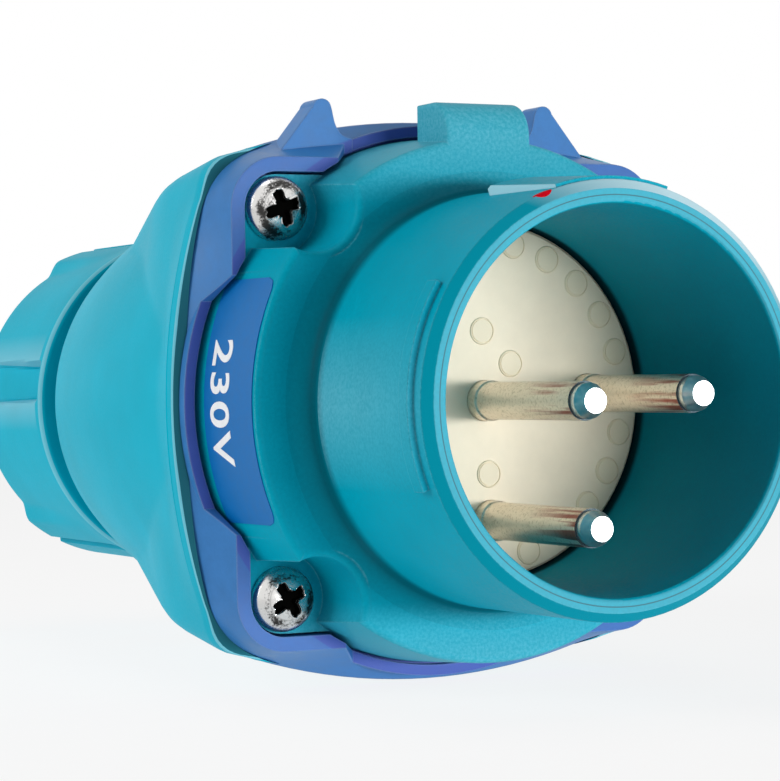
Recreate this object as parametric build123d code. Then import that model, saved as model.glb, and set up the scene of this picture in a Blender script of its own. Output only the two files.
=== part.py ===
from build123d import *
import math
import os

# Industrial pin and sleeve plug, millimetres.
# The plug axis lies along Y: the open shroud faces -Y, the gland nut is at +Y, +Z is up.
# Stations along Y are counted from the shroud rim. At the end all pieces are set back by one
# length, so that the origin lies on the earth pin, in the plane of the drum's front face.

# shroud of the inlet casing
bore_r = 24.2
shroud_wall = 3.0
shroud_draft = 0.18
shroud_len = 32.06
rim_bevel = 1.2
rim_round = 0.55
root_fillet = 3.3

# drum behind the shroud, with the flange lobes and the screw pockets
drum_step = 7.47
drum_flare = 1.15
drum_edge = 1.0
drum_len = 12.44
flange_t = 5.0
lobe_inset = 5.55
lobe_corner = 5.0
screw_edge = 4.65
pocket_r = 6.2
pocket_round = 1.0
counterbore_step = 2.8
counterbore_len = 9.5

# shallow seat for the rating label on the left of the drum: it runs out above and below
label_seat_depth = 0.35
label_seat_half = 17.3
label_seat_front = 0.4

# latch catch, key pad and cam ribs on the casing
catch_width = 12.6
catch_len = 8.94
catch_height = 4.95
catch_round = 4.6
catch_edge = 0.6
key_arc = 34.0
key_start = 1.5
key_len = 16.5
key_front_height = 0.45
key_height = 1.4
key_back_slope = 1.0
key_back_drop = 0.4
rib_arc = 54.0
rib_mid_angle = 175.0
rib_start = 2.9
rib_width = 3.5
rib_height = 0.9
rib_slope = 1.2
pad_root = 0.7

# contact insulator, its seal and its retaining ring
face_set = 2.34
face_edge = 0.4
insulator_step = 2.2
insulator_tail = 8.5
insulator_flange_t = 3.5
insulator_turn = 2.4
seal_t = 1.5
ring_gap = 0.4
wall_gap = 0.3

# contact pins with their tips and wire barrels
pin_r = 2.5
pin_len = 28.3
pin_inset = 8.2
shank_step = 0.2
shank_out = 2.2
tip_len = 2.5
tip_cone = 1.5
tip_face_r = 1.6
tip_step = 0.2
wire_bore_r = 2.9
wire_bore_len = 12.0
barrel_wall = 1.85
barrel_len = 18.0
barrel_edge = 0.6
terminal_screw_r = 2.0
terminal_out = 1.4
terminal_bite = 1.0
terminal_slot_w = 0.8
terminal_slot_depth = 0.9
thread_fit = 0.05
pin_fit = 0.05

# bumper frame between the casing and the handle
web_t = 2.5
lip_out = 1.8
lobe_lip_out = 6.5
lip_wall = 1.5
lobe_lip_wall = 1.95
lobe_lip_len = 15.0
lobe_lip_slope = 4.0
frame_flare = 5.9
frame_bow = 85.0
frame_corner = 12.7
web_gap = 2.0
ear_x = 16.9
ear_rise = 2.4
ear_root = 9.4
ear_outer_w = 6.6
ear_outer_drop = 7.2
ear_inner_w = 4.2
ear_inner_drop = 5.3
ear_tip_outer = (-1.7, -1.1)
ear_tip_top = (-0.6, -0.03)
ear_tip_inner = (0.8, -0.5)
ear_hollow = (1.55, -3.2)
ear_out = 2.2
ear_t = 4.2

# handle
handle_step = 1.4
handle_edge = 0.8
handle_bow = 118.0
shoulder_len = 19.0
shoulder_step = 3.2
shoulder_bow = 160.0
boss_len = 47.0
boss_step = 9.0
boss_bow = 600.0
handle_corner = 2.0
dome_inset = 1.6
dome_mid = 20.0
dome_mid_drop = 0.7
dome_back = 43.0
dome_back_drop = 2.9
dome_tail = 66.0
dome_tail_drop = 7.4
dome_nose = 8.5
dome_ledge = 3.2
dome_wall = 4.0
spigot_r = 22.0
spigot_len = 33.5
spigot_edge = 1.0
spigot_wall = 4.5
seal_depth = 15.0
seal_ledge = 4.0
neck_len = 4.0

# flange screws
head_r = 4.3
head_h = 3.1
head_rim = 0.9
screw_r = 2.0
screw_gap = 0.3
screw_len = 29.5
screw_point = 3.0
pilot_spare = 1.0
recess_len = 4.9
recess_w = 1.15
recess_depth = 1.7
screw_turns = [18.0, 40.0, 65.0, 30.0]

# gland
nut_gap = 6.0
nut_fit = 0.08
nut_wall = 5.12
nut_web_t = 6.5
nut_edge = 0.9
nut_back_round = 2.0
nut_hole_edge = 1.0
collar_len = 2.0
lobe_draft = 1.9
groove_front_w = 5.5
groove_back_w = 6.9
groove_depth = 1.5
groove_mid_angle = 172.3
grip_step = 0.2
grip_arc = 72.0
notch_pitch = 20.0
notch_w = 1.5
slip_ring_t = 3.0
slip_ring_out = 1.5
slip_ring_wall = 4.8
gland_seal_wall = 8.2
nut_hole_step = 0.6

# stations along the axis
drum_front_y = shroud_len
seat_y = drum_front_y + drum_len
flange_back_y = seat_y + flange_t
counterbore_y = flange_back_y - counterbore_len
frame_back_y = flange_back_y + web_t
insulator_face_y = drum_front_y + face_set
insulator_flange_y = counterbore_y + seal_t
ring_y = insulator_flange_y + insulator_flange_t
insulator_back_y = flange_back_y + insulator_tail
boss_back_y = frame_back_y + boss_len
dome_end_y = frame_back_y + dome_tail + dome_nose
spigot_end_y = dome_end_y + spigot_len
seal_seat_y = spigot_end_y - seal_depth
nut_front_y = dome_end_y + nut_gap
nut_web_y = spigot_end_y + slip_ring_out
slip_ring_y = nut_web_y - slip_ring_t
nut_end_y = nut_web_y + nut_web_t

# radii and half widths that follow from the sizes above
shroud_r = bore_r + shroud_wall
shroud_root_r = shroud_r + shroud_draft
drum_r = shroud_root_r + drum_step
drum_back_r = drum_r + drum_flare
counterbore_r = bore_r + counterbore_step
pin_circle_r = bore_r - pin_inset
lobe_half = drum_back_r - lobe_inset
screw_place = lobe_half - screw_edge
insulator_r = bore_r - wall_gap
insulator_flange_r = counterbore_r - wall_gap
insulator_body_r = bore_r - insulator_step
shank_r = pin_r + shank_step
barrel_r = wire_bore_r + barrel_wall
lip_r = drum_back_r + wall_gap + lip_wall
lip_half = lobe_half + wall_gap + lobe_lip_wall
frame_half = lip_half + frame_flare
handle_half = frame_half - handle_step
shoulder_half = handle_half - shoulder_step
boss_half = shoulder_half - boss_step
dome_r = frame_half - dome_inset
seal_bore_r = spigot_r - spigot_wall
cord_pass_r = seal_bore_r - seal_ledge
nut_bore_r = spigot_r + nut_fit
nut_r = nut_bore_r + nut_wall
lobe_back_r = nut_r - lobe_draft
grip_r = nut_r - grip_step
gland_seal_r = seal_bore_r - wall_gap
seal_hole_r = gland_seal_r - gland_seal_wall
slip_ring_r = gland_seal_r - slip_ring_wall
nut_hole_r = slip_ring_r + nut_hole_step

# extra length of a cutter past the face it opens
over = 1.0
arc_mid = 1 - math.sqrt(0.5)


def plane_at(y):
    # local x is X, local y is Z, the normal points to -Y
    return Plane(origin=(0, y, 0), x_dir=(1, 0, 0), z_dir=(0, -1, 0))


def prism(sketch, y0, y1):
    return extrude(plane_at(y1) * sketch, amount=y1 - y0)


def turned(points):
    # profile points are (radius, y)
    return revolve(make_face(Polyline(*points, close=True)), Axis.Y)


def tube(inner_r, outer_r, y0, y1):
    return turned([(inner_r, y0), (outer_r, y0), (outer_r, y1), (inner_r, y1)])


def rod(x, z, r, y0, y1):
    return prism(Pos(x, z) * Circle(r), y0, y1)


def sector(points, arc, last_angle):
    # part of a ring; angles run from +X towards +Z
    solid = revolve(make_face(Polyline(*points, close=True)), Axis.Y, revolution_arc=arc)
    return Rot(0, -last_angle, 0) * solid


def quarter(start, corner, end):
    # quarter round from start to end, bulging towards the corner they share
    mid = tuple(c + (s + e - 2 * c) * arc_mid for s, c, e in zip(start, corner, end))
    return ThreePointArc(start, mid, end)


def bowed_square(half, bow, corner):
    # four bowed sides that meet in rounded corners
    c = half - bow
    t = (c + math.sqrt(2 * bow * bow - c * c)) / 2
    sides = Curve() + [
        ThreePointArc((t, -t), (half, 0), (t, t)),
        ThreePointArc((t, t), (0, half), (-t, t)),
        ThreePointArc((-t, t), (-half, 0), (-t, -t)),
        ThreePointArc((-t, -t), (0, -half), (t, -t)),
    ]
    face = make_face(sides)
    return fillet(face.vertices(), corner)


def screw_places():
    p = screw_place
    return [(-p, p), (p, p), (p, -p), (-p, -p)]


def make_casing():
    # shroud and drum in one profile, then lobes, pockets, catch, key pad and ribs
    line = Curve() + [
        quarter((bore_r, rim_round), (bore_r, 0), (bore_r + rim_round, 0)),
        Line((bore_r + rim_round, 0), (shroud_r - rim_bevel, 0)),
        Line((shroud_r - rim_bevel, 0), (shroud_r, rim_bevel)),
        Line((shroud_r, rim_bevel), (shroud_root_r, drum_front_y - root_fillet)),
        quarter(
            (shroud_root_r, drum_front_y - root_fillet),
            (shroud_root_r, drum_front_y),
            (shroud_root_r + root_fillet, drum_front_y),
        ),
        Line((shroud_root_r + root_fillet, drum_front_y), (drum_r - drum_edge, drum_front_y)),
        quarter(
            (drum_r - drum_edge, drum_front_y),
            (drum_r, drum_front_y),
            (drum_r, drum_front_y + drum_edge),
        ),
        Line((drum_r, drum_front_y + drum_edge), (drum_back_r, flange_back_y)),
        Line((drum_back_r, flange_back_y), (counterbore_r, flange_back_y)),
        Line((counterbore_r, flange_back_y), (counterbore_r, counterbore_y)),
        Line((counterbore_r, counterbore_y), (bore_r, counterbore_y)),
        Line((bore_r, counterbore_y), (bore_r, rim_round)),
    ]
    casing = revolve(make_face(line), Axis.Y)
    inside_drum_r = (counterbore_r + drum_back_r) / 2
    lobes = RectangleRounded(2 * lobe_half, 2 * lobe_half, lobe_corner) - Circle(inside_drum_r)
    casing = casing - label_seat_cutter()
    casing = casing + prism(lobes, seat_y, flange_back_y)
    casing = casing + make_catch()
    for x, z in screw_places():
        casing = casing - Pos(x, 0, z) * pocket_cutter()
        casing = casing - rod(x, z, screw_r + screw_gap, seat_y - over, flange_back_y + over)
    return casing + make_key_pad() + make_ribs()


def label_seat_cutter():
    # what lies outside a slightly flatter cone, which meets the drum again at the seat's ends
    run_out = math.asin(label_seat_half / drum_r)
    shift = label_seat_depth / (1 - math.cos(run_out))
    inner_r = shift - label_seat_depth
    ring = turned([
        (drum_r + inner_r, drum_front_y + label_seat_front),
        (drum_back_r + 2 * shift, drum_front_y + label_seat_front),
        (drum_back_r + 2 * shift, flange_back_y + over),
        (drum_back_r + inner_r, flange_back_y + over),
    ])
    window = Plane.YZ * Rectangle(4 * flange_back_y, 2 * label_seat_half)
    return (Pos(shift, 0, 0) * ring) & extrude(window, amount=-2 * drum_back_r)


def pocket_cutter():
    # round pocket with a flared mouth, so that its edge on the drum face is soft
    mouth_y = drum_front_y + pocket_round
    line = Curve() + [
        Line((0, seat_y), (pocket_r, seat_y)),
        Line((pocket_r, seat_y), (pocket_r, mouth_y)),
        quarter((pocket_r, mouth_y), (pocket_r, drum_front_y), (pocket_r + pocket_round, drum_front_y)),
        Line((pocket_r + pocket_round, drum_front_y), (pocket_r + pocket_round, drum_front_y - over)),
        Line((pocket_r + pocket_round, drum_front_y - over), (0, drum_front_y - over)),
        Line((0, drum_front_y - over), (0, seat_y)),
    ]
    return revolve(make_face(line), Axis.Y)


def make_catch():
    front_y = drum_front_y
    back_y = front_y + catch_len
    top_z = drum_r + catch_height
    foot_z = (shroud_root_r + drum_r) / 2
    side = Curve() + [
        Line((back_y, foot_z), (back_y, top_z)),
        Line((back_y, top_z), (front_y + catch_round, top_z)),
        quarter((front_y + catch_round, top_z), (front_y, top_z), (front_y, top_z - catch_round)),
        Line((front_y, top_z - catch_round), (front_y, foot_z)),
        Line((front_y, foot_z), (back_y, foot_z)),
    ]
    plane = Plane(origin=(-catch_width / 2, 0, 0), x_dir=(0, 1, 0), z_dir=(1, 0, 0))
    catch = extrude(plane * make_face(side), amount=catch_width)
    return fillet(catch.faces().filter_by(Axis.X).edges(), catch_edge)


def make_key_pad():
    end_y = key_start + key_len
    top_r = shroud_r + key_height
    points = [
        (shroud_r - pad_root, key_start),
        (shroud_r + key_front_height, key_start),
        (top_r, end_y - key_back_slope),
        (top_r - key_back_drop, end_y),
        (shroud_r - pad_root, end_y),
    ]
    return sector(points, key_arc, 90 + key_arc / 2)


def make_ribs():
    end_y = rib_start + rib_width
    points = [
        (shroud_r - pad_root, rib_start),
        (shroud_r + rib_height, rib_start),
        (shroud_r + rib_height, end_y - rib_slope),
        (shroud_r, end_y),
        (shroud_r - pad_root, end_y),
    ]
    left = sector(points, rib_arc, rib_mid_angle + rib_arc / 2)
    return left + mirror(left, about=Plane.YZ)


def pin_places():
    # the earth pin sits on the axis, the others on a circle round it
    turn = math.radians(insulator_turn)
    along = pin_circle_r * math.cos(turn)
    aside = pin_circle_r * math.sin(turn)
    return {"earth": (0.0, 0.0), "right": (along, aside), "lower": (aside, -along)}


def make_insulator():
    insulator = turned([
        (0, insulator_face_y),
        (insulator_r - face_edge, insulator_face_y),
        (insulator_r, insulator_face_y + face_edge),
        (insulator_r, insulator_flange_y),
        (insulator_flange_r, insulator_flange_y),
        (insulator_flange_r, ring_y),
        (insulator_body_r, ring_y),
        (insulator_body_r, insulator_back_y),
        (0, insulator_back_y),
    ])
    for x, z in pin_places().values():
        insulator = insulator - rod(
            x, z, shank_r + pin_fit, insulator_face_y - over, insulator_back_y + over
        )
    return insulator


def make_contact(screw_angle):
    # pin, tip and terminal screw of one contact, on the plug axis
    tip_y = insulator_face_y - pin_len
    shaft_y = tip_y + tip_len
    collar_y = insulator_face_y - shank_out
    barrel_end_y = insulator_back_y + barrel_len
    bore_floor_y = barrel_end_y - wire_bore_len
    pin = turned([
        (0, shaft_y),
        (pin_r, shaft_y),
        (pin_r, collar_y),
        (shank_r, collar_y + shank_step),
        (shank_r, insulator_back_y),
        (barrel_r, insulator_back_y),
        (barrel_r, barrel_end_y - barrel_edge),
        (barrel_r - barrel_edge, barrel_end_y),
        (wire_bore_r, barrel_end_y),
        (wire_bore_r, bore_floor_y),
        (0, bore_floor_y),
    ])
    tip_r = pin_r - tip_step
    tip = turned([
        (0, tip_y),
        (tip_face_r, tip_y),
        (tip_r, tip_y + tip_cone),
        (tip_r, shaft_y),
        (0, shaft_y),
    ])
    ang = math.radians(screw_angle)
    out = (math.cos(ang), 0, math.sin(ang))
    middle = (0, (bore_floor_y + barrel_end_y) / 2, 0)
    screw_plane = Plane(origin=middle, x_dir=(0, 1, 0), z_dir=out)
    top = barrel_r + terminal_out
    foot = wire_bore_r - terminal_bite
    pin = pin - extrude(screw_plane * Circle(terminal_screw_r + thread_fit), amount=top)
    screw = extrude(screw_plane.offset(foot) * Circle(terminal_screw_r), amount=top - foot)
    slot = Rectangle(3 * terminal_screw_r, terminal_slot_w)
    screw = screw - extrude(screw_plane.offset(top - terminal_slot_depth) * slot, amount=top)
    return {"pin": pin, "contact_tip": tip, "terminal_screw": screw}


def make_frame():
    # flared square frame with raised lips round the lobes and a round lip round the drum
    lobe_lip_y = flange_back_y - lobe_lip_out
    lip_y = flange_back_y - lip_out
    lip_corner = lobe_corner + lobe_lip_wall
    front = plane_at(lobe_lip_y) * RectangleRounded(2 * lip_half, 2 * lip_half, lip_corner)
    back = plane_at(frame_back_y) * bowed_square(frame_half, frame_bow, frame_corner)
    frame = loft([front, back], ruled=True)
    gap_front = lip_half - lobe_lip_len
    gap_back = gap_front - lobe_lip_slope
    gap_points = [
        (lobe_lip_y - over, -gap_front),
        (lobe_lip_y - over, gap_front),
        (lip_y, gap_back),
        (lip_y, -gap_back),
    ]
    reach = 2 * frame_half
    across = Plane(origin=(0, 0, -reach), x_dir=(0, 1, 0), z_dir=(0, 0, 1))
    gap = extrude(across * make_face(Polyline(*gap_points, close=True)), amount=2 * reach)
    frame = frame - gap
    frame = frame - Rot(0, 90, 0) * gap
    frame = frame + prism(Circle(lip_r), lip_y, frame_back_y)
    ear = make_ear()
    frame = frame + ear + mirror(ear, about=Plane.YZ)
    frame = frame - rod(0, 0, drum_back_r + wall_gap, lobe_lip_y - over, flange_back_y)
    lobe_width = 2 * (lobe_half + wall_gap)
    lobe_hole = RectangleRounded(lobe_width, lobe_width, lobe_corner)
    frame = frame - prism(lobe_hole, lobe_lip_y - over, flange_back_y)
    web_open_r = insulator_body_r + web_gap
    frame = frame - rod(0, 0, web_open_r, flange_back_y - over, frame_back_y + over)
    for x, z in screw_places():
        frame = frame - rod(x, z, screw_r + screw_gap, flange_back_y - over, frame_back_y + over)
    return frame


def make_ear():
    # fin with a rounded tip and a hollow inner side, left of the catch
    outline = Curve() + [
        Line((-ear_outer_w, -ear_root), (-ear_outer_w, -ear_outer_drop)),
        Line((-ear_outer_w, -ear_outer_drop), ear_tip_outer),
        ThreePointArc(ear_tip_outer, ear_tip_top, ear_tip_inner),
        Spline(
            ear_tip_inner,
            ear_hollow,
            (ear_inner_w, -ear_inner_drop),
            tangents=[(0.6, -1), (1, -0.1)],
        ),
        Line((ear_inner_w, -ear_inner_drop), (ear_inner_w, -ear_root)),
        Line((ear_inner_w, -ear_root), (-ear_outer_w, -ear_root)),
    ]
    front_y = flange_back_y - ear_out
    tip_z = frame_half + ear_rise
    return prism(Pos(-ear_x, tip_z) * make_face(outline), front_y, front_y + ear_t)


def dome_points(inset):
    # outline of the dome as (radius, y), moved inwards by the inset
    r = dome_r - inset
    return [
        (r, frame_back_y),
        (r - dome_mid_drop, frame_back_y + dome_mid),
        (r - dome_back_drop, frame_back_y + dome_back),
        (r - dome_tail_drop, frame_back_y + dome_tail),
    ]


def make_handle():
    # square boss that tapers from its shoulder into a round dome, with a threaded spigot behind
    edge_y = frame_back_y + handle_edge
    shoulder_y = frame_back_y + shoulder_len
    sections = [
        plane_at(frame_back_y) * bowed_square(handle_half - handle_edge, handle_bow, handle_corner),
        plane_at(edge_y) * bowed_square(handle_half, handle_bow, handle_corner),
        plane_at(shoulder_y) * bowed_square(shoulder_half, shoulder_bow, handle_corner),
        plane_at(boss_back_y) * bowed_square(boss_half, boss_bow, handle_corner),
    ]
    boss = loft(sections, ruled=True)
    front_slope = (-dome_mid_drop / 2, dome_mid)
    tail_slope = (dome_back_drop - dome_tail_drop - dome_ledge / 2, dome_tail - dome_back)
    outside = dome_points(0)
    end_r = spigot_r + dome_ledge
    line = Curve() + [
        Line((0, frame_back_y), outside[0]),
        Spline(*outside, tangents=[front_slope, tail_slope]),
        Spline(outside[-1], (end_r, dome_end_y), tangents=[tail_slope, (-1, 0.35)]),
        Line((end_r, dome_end_y), (spigot_r, dome_end_y)),
        Line((spigot_r, dome_end_y), (spigot_r, spigot_end_y - spigot_edge)),
        Line((spigot_r, spigot_end_y - spigot_edge), (spigot_r - spigot_edge, spigot_end_y)),
        Line((spigot_r - spigot_edge, spigot_end_y), (0, spigot_end_y)),
        Line((0, spigot_end_y), (0, frame_back_y)),
    ]
    handle = boss + revolve(make_face(line), Axis.Y)
    inside = dome_points(dome_wall)
    neck_y = seal_seat_y - neck_len
    hollow = Curve() + [
        Line((0, frame_back_y), inside[0]),
        Spline(*inside, tangents=[front_slope, tail_slope]),
        Line(inside[-1], (cord_pass_r, neck_y)),
        Line((cord_pass_r, neck_y), (cord_pass_r, seal_seat_y)),
        Line((cord_pass_r, seal_seat_y), (seal_bore_r, seal_seat_y)),
        Line((seal_bore_r, seal_seat_y), (seal_bore_r, spigot_end_y)),
        Line((seal_bore_r, spigot_end_y), (0, spigot_end_y)),
        Line((0, spigot_end_y), (0, frame_back_y)),
    ]
    handle = handle - revolve(make_face(hollow), Axis.Y)
    pilot_end_y = seat_y + screw_len + pilot_spare
    for x, z in screw_places():
        handle = handle - rod(x, z, screw_r + thread_fit, frame_back_y - over, pilot_end_y)
    return handle


def make_flange_screw():
    # domed head with a cross recess, on the plug axis
    top_y = seat_y - head_h
    rim_y = seat_y - head_rim
    crown = (head_r * math.sin(math.pi / 4), rim_y - (rim_y - top_y) * math.cos(math.pi / 4))
    head = Curve() + [
        Line((0, seat_y), (head_r, seat_y)),
        Line((head_r, seat_y), (head_r, rim_y)),
        ThreePointArc((head_r, rim_y), crown, (0, top_y)),
        Line((0, top_y), (0, seat_y)),
    ]
    shank = turned([
        (0, rim_y),
        (screw_r, rim_y),
        (screw_r, seat_y + screw_len - screw_point),
        (screw_r / 5, seat_y + screw_len),
        (0, seat_y + screw_len),
    ])
    screw = revolve(make_face(head), Axis.Y) + shank
    recess = Rectangle(recess_len, recess_w) + Rectangle(recess_w, recess_len)
    return screw - prism(recess, top_y - over, top_y + recess_depth)


def groove_cutter(floor_r, front_w, back_w, angle):
    # flat-bottomed groove along the nut, from the collar out of the back end
    start_y = nut_front_y + collar_len
    end_y = nut_end_y + over
    outline = Polyline(
        (start_y, -front_w / 2),
        (end_y, -back_w / 2),
        (end_y, back_w / 2),
        (start_y, front_w / 2),
        close=True,
    )
    floor = Plane(origin=(floor_r, 0, 0), x_dir=(0, 1, 0), z_dir=(1, 0, 0))
    return Rot(0, -angle, 0) * extrude(floor * make_face(outline), amount=nut_r)


def make_nut():
    # tapered nut with a collar, a wide groove on two sides and notched grips between them
    collar_y = nut_front_y + collar_len
    round_y = nut_end_y - nut_back_round
    inner_r = lobe_back_r - nut_back_round
    line = Curve() + [
        Line((nut_bore_r, nut_front_y), (nut_r - nut_edge, nut_front_y)),
        quarter((nut_r - nut_edge, nut_front_y), (nut_r, nut_front_y), (nut_r, nut_front_y + nut_edge)),
        Line((nut_r, nut_front_y + nut_edge), (nut_r, collar_y)),
        Line((nut_r, collar_y), (lobe_back_r, round_y)),
        quarter((lobe_back_r, round_y), (lobe_back_r, nut_end_y), (inner_r, nut_end_y)),
        Line((inner_r, nut_end_y), (nut_hole_r + nut_hole_edge, nut_end_y)),
        Line((nut_hole_r + nut_hole_edge, nut_end_y), (nut_hole_r, nut_end_y - nut_hole_edge)),
        Line((nut_hole_r, nut_end_y - nut_hole_edge), (nut_hole_r, nut_web_y)),
        Line((nut_hole_r, nut_web_y), (nut_bore_r, nut_web_y)),
        Line((nut_bore_r, nut_web_y), (nut_bore_r, nut_front_y)),
    ]
    nut = revolve(make_face(line), Axis.Y)
    grip_line = Curve() + [
        Line((inner_r, collar_y), (grip_r, collar_y)),
        Line((grip_r, collar_y), (grip_r, round_y)),
        quarter((grip_r, round_y), (grip_r, nut_end_y), (grip_r - nut_back_round, nut_end_y)),
        Line((grip_r - nut_back_round, nut_end_y), (inner_r, nut_end_y)),
        Line((inner_r, nut_end_y), (inner_r, collar_y)),
    ]
    grip = revolve(make_face(grip_line), Axis.Y, revolution_arc=grip_arc)
    for side in (groove_mid_angle - 90, groove_mid_angle + 90):
        nut = nut + Rot(0, -(side + grip_arc / 2), 0) * grip
        for k in (-1, 0, 1):
            nut = nut - groove_cutter(lobe_back_r, notch_w, notch_w, side + k * notch_pitch)
    for side in (groove_mid_angle, groove_mid_angle + 180):
        nut = nut - groove_cutter(lobe_back_r - groove_depth, groove_front_w, groove_back_w, side)
    return nut


parts = {
    "inlet_casing": make_casing(),
    "contact_insulator": make_insulator(),
    "insulator_seal": tube(bore_r + ring_gap, insulator_flange_r, counterbore_y, insulator_flange_y),
    "retaining_ring": tube(insulator_body_r + ring_gap, insulator_flange_r, ring_y, flange_back_y),
    "bumper_frame": make_frame(),
    "handle_body": make_handle(),
    "gland_seal": tube(seal_hole_r, gland_seal_r, seal_seat_y, slip_ring_y),
    "slip_ring": tube(slip_ring_r, gland_seal_r, slip_ring_y, nut_web_y),
    "gland_nut": make_nut(),
}

terminal_angles = {"earth": 135.0, "right": insulator_turn, "lower": insulator_turn - 90.0}
for name, (x, z) in pin_places().items():
    for piece, solid in make_contact(terminal_angles[name]).items():
        parts[name + "_" + piece] = Pos(x, 0, z) * solid

flange_screw = make_flange_screw()
for k, (x, z) in enumerate(screw_places()):
    parts["flange_screw_%d" % (k + 1)] = Pos(x, 0, z) * Rot(0, screw_turns[k], 0) * flange_screw

os.makedirs("parts", exist_ok=True)
for name, solid in parts.items():
    export_step(Pos(0, -drum_front_y, 0) * solid, "parts/" + name + ".step")
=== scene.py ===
import math

import bmesh
import bpy
import numpy as np
from mathutils import Matrix


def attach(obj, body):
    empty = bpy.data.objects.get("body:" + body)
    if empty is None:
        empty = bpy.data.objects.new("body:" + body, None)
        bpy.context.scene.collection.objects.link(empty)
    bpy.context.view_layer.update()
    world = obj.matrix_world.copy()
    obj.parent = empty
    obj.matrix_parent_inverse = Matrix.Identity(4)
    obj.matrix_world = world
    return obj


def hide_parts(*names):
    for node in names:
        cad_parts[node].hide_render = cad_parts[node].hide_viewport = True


bl_info = {
    "name": "Pin and sleeve plug dresser",
    "version": (1, 0, 0),
    "blender": (4, 5, 0),
    "location": "3D View > Sidebar > Plug",
    "description": "Dresses the packed solids of an industrial pin and sleeve plug for a studio picture",
    "category": "Object",
}

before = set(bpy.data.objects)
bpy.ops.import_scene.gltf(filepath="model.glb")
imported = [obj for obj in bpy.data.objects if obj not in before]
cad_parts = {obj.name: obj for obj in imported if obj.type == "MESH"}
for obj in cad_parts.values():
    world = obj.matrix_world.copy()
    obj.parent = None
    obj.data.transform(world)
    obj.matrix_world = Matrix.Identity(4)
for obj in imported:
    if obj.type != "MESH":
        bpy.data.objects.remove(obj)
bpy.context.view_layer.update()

# The plug axis lies along Y, the open shroud faces -Y and +Z is up. Numbers in this file are
# millimetres unless a name says otherwise; a mesh is turned to metres when it is made.
MM = 0.001
TURN = 2 * math.pi


def linear(code):
    """Linear red, green, blue and alpha of an sRGB hex colour."""
    srgb = [int(code[i:i + 2], 16) / 255 for i in (1, 3, 5)]
    return tuple(c / 12.92 if c <= 0.04045 else ((c + 0.055) / 1.055) ** 2.4 for c in srgb) + (1.0,)


def length_prop(name, text, value):
    return bpy.props.FloatProperty(name=name, description=text, default=value, min=0.0, unit="LENGTH")


def colour_prop(name, text, code):
    return bpy.props.FloatVectorProperty(
        name=name, description=text, default=linear(code), size=4, min=0.0, max=1.0, subtype="COLOR"
    )


class PlugSizes(bpy.types.PropertyGroup):
    """Sizes of the pieces that are made here, in metres."""

    handle_lap: length_prop("Handle lap", "How far the handle's rim laps over the frame's back", 2.2 * MM)
    boss_soft: length_prop("Boss softness", "Blend at the shoulder of the corner bosses", 1.2 * MM)
    dome_soft: length_prop("Dome softness", "Blend where the bosses run into the dome", 0.2 * MM)
    thread_pitch: length_prop("Thread pitch", "Pitch of the gland thread", 3.0 * MM)
    thread_depth: length_prop("Thread depth", "Depth of the gland thread", 1.2 * MM)
    groove_soft: length_prop("Groove softness", "Width of the soft edge of a grip groove", 0.9 * MM)
    mark_radius: length_prop("Mark radius", "Radius of the round marks on the insulator", 1.85 * MM)
    mark_height: length_prop("Mark height", "Height of the round marks on the insulator", 0.2 * MM)
    label_thickness: length_prop("Label thickness", "Thickness of the film label", 0.12 * MM)


class PlugColours(bpy.types.PropertyGroup):
    """Colours of the finishes."""

    casing: colour_prop("Casing", "Teal of the casing", "#00A0B9")
    handle: colour_prop("Handle", "Teal of the handle and the gland nut", "#00B0CA")
    bumper: colour_prop("Bumper", "Blue of the bumper frame", "#3A7ABA")
    insulator: colour_prop("Insulator", "Cream of the contact insulator", "#F5E8CE")
    label: colour_prop("Label", "Blue of the film label", "#006CB4")
    print_white: colour_prop("Print", "White of the print on the label", "#F4F6F8")
    paint: colour_prop("Paint", "Red of the paint mark", "#C8081C")


def sizes():
    return bpy.context.scene.plug_sizes


def colours():
    return bpy.context.scene.plug_colours


# surfaces


def ease(x):
    """Smooth step: 0 below 0, 1 above 1, with level ends."""
    t = np.clip(x, 0, 1)
    return t * t * (3 - 2 * t)


def lower_of(a, b, soft):
    """The lower of two heights, with their crossing rounded over a width of soft."""
    h = np.clip(0.5 + 0.5 * (b - a) / soft, 0, 1)
    return b + (a - b) * h - soft * h * (1 - h)


def higher_of(a, b, soft):
    """The higher of two heights, with their crossing rounded over a width of soft."""
    return -lower_of(-a, -b, soft)


def curve_through(x, places, values, slopes):
    """Cubic pieces through the values at the places, with the given slope at each place."""
    places, values, slopes = map(np.asarray, (places, values, slopes))
    i = np.clip(np.searchsorted(places, x) - 1, 0, len(places) - 2)
    w = places[i + 1] - places[i]
    t = (x - places[i]) / w
    return (
        values[i] * (1 + 2 * t) * (1 - t) ** 2
        + slopes[i] * w * t * (1 - t) ** 2
        + values[i + 1] * t * t * (3 - 2 * t)
        + slopes[i + 1] * w * t * t * (t - 1)
    )


def run(start, end, steps):
    """Points of a straight profile run, as (radius, y) rows, without the last point."""
    t = np.arange(steps)[:, None] / steps
    return np.asarray(start, float) * (1 - t) + np.asarray(end, float) * t


def quarter_round(start, corner, end, steps):
    """Points of a quarter ellipse from start to end that bulges to the corner, without the last point."""
    a = np.arange(steps)[:, None] / steps * math.pi / 2
    start, corner, end = (np.asarray(p, float) for p in (start, corner, end))
    centre = start + end - corner
    return centre + (start - centre) * np.cos(a) + (end - centre) * np.sin(a)


def turned(radius, along, angle, centre=(0.0, 0.0)):
    """Grid of points at a radius round the plug axis: x = radius cos, y = along, z = radius sin."""
    radius, along, angle = np.broadcast_arrays(radius, along, angle)
    return np.stack([centre[0] + radius * np.cos(angle), along, centre[1] + radius * np.sin(angle)], -1)


def around(steps):
    """Angles of one full turn, from +X towards +Z, as one row."""
    return np.arange(steps)[None, :] * TURN / steps


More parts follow.
